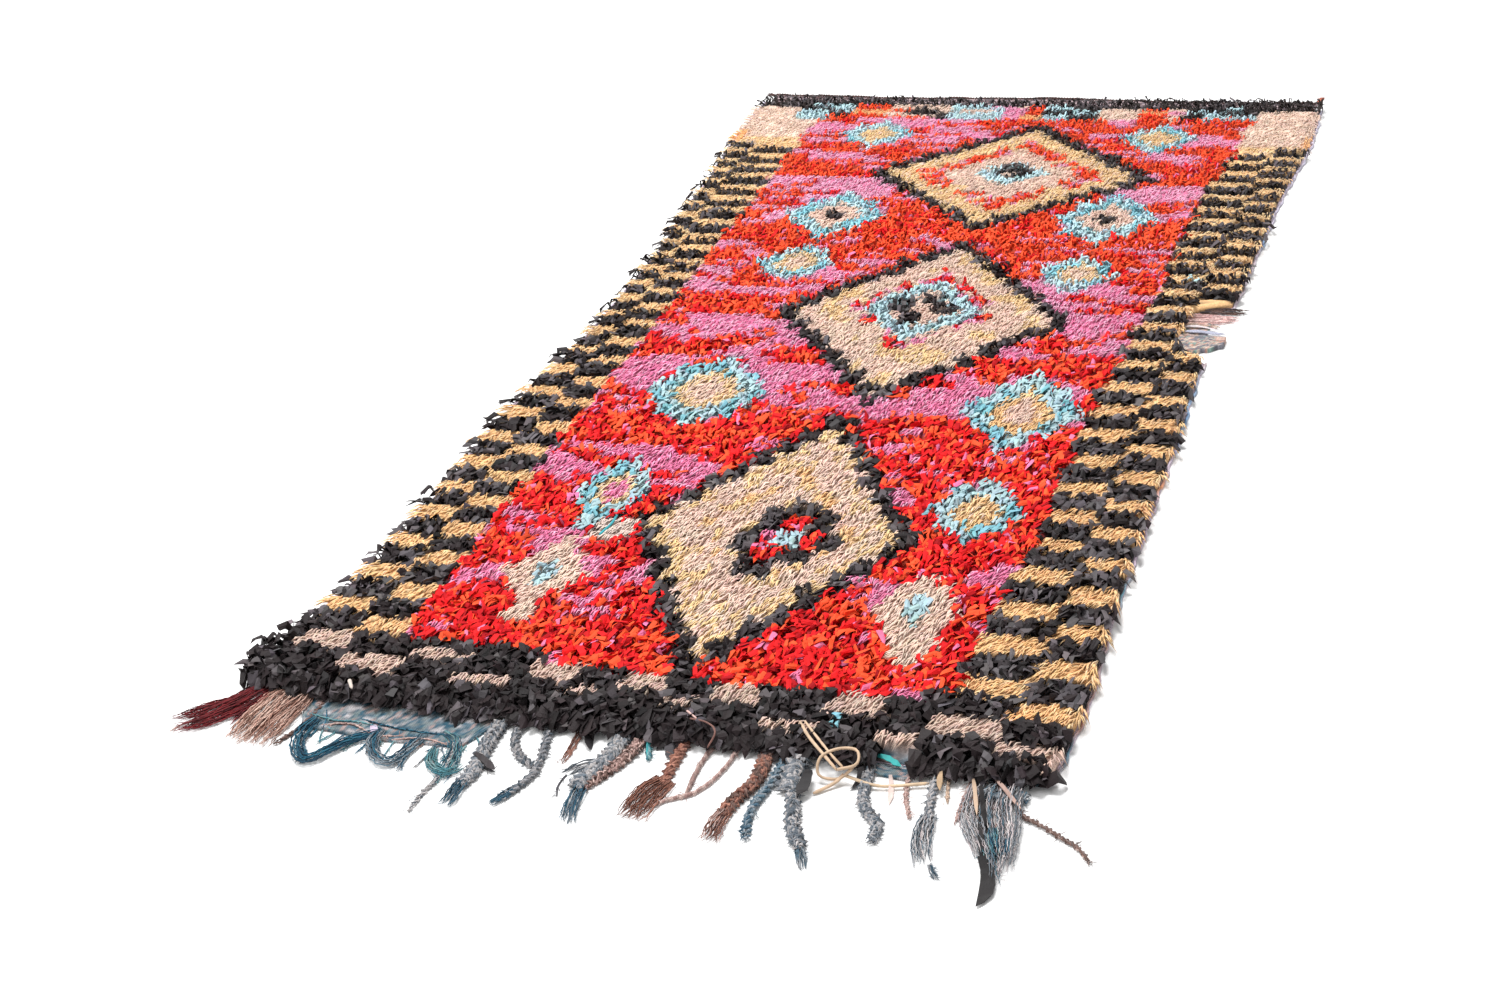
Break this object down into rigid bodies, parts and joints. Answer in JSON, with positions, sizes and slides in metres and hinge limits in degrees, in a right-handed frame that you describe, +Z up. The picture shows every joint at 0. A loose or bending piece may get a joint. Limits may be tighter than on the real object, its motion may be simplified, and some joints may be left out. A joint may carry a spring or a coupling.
{
  "type": "boucherouite rug",
  "caption": "Long rectangular rag-pile rug with a charted diamond pattern, a tasselled front end and a corded back end, lying flat.",
  "frame": {"origin": "on the floor under the middle of the woven body, on the rug's flat underside", "axes": "+Y along the rug from the tasselled front end to the corded back end, +X to the right of someone standing at the front end and looking along it, +Z up"},
  "size_m": [1.3972, 2.5, 0.0324],
  "materials": {
    "pile": "knotted cotton rag and wool yarn in many colours, matt",
    "fringe": "braided and loose yarn, matt",
    "end_cord": "twisted dark yarn over plain weave, matt",
    "weft": "loose yarn and thin rag ribbon, matt"
  },
  "bodies": {
    "root": {"rug_body": "pile", "front_fringe": "fringe", "back_end": "end_cord", "torn_wefts": "weft"}
  },
  "joints": []
}
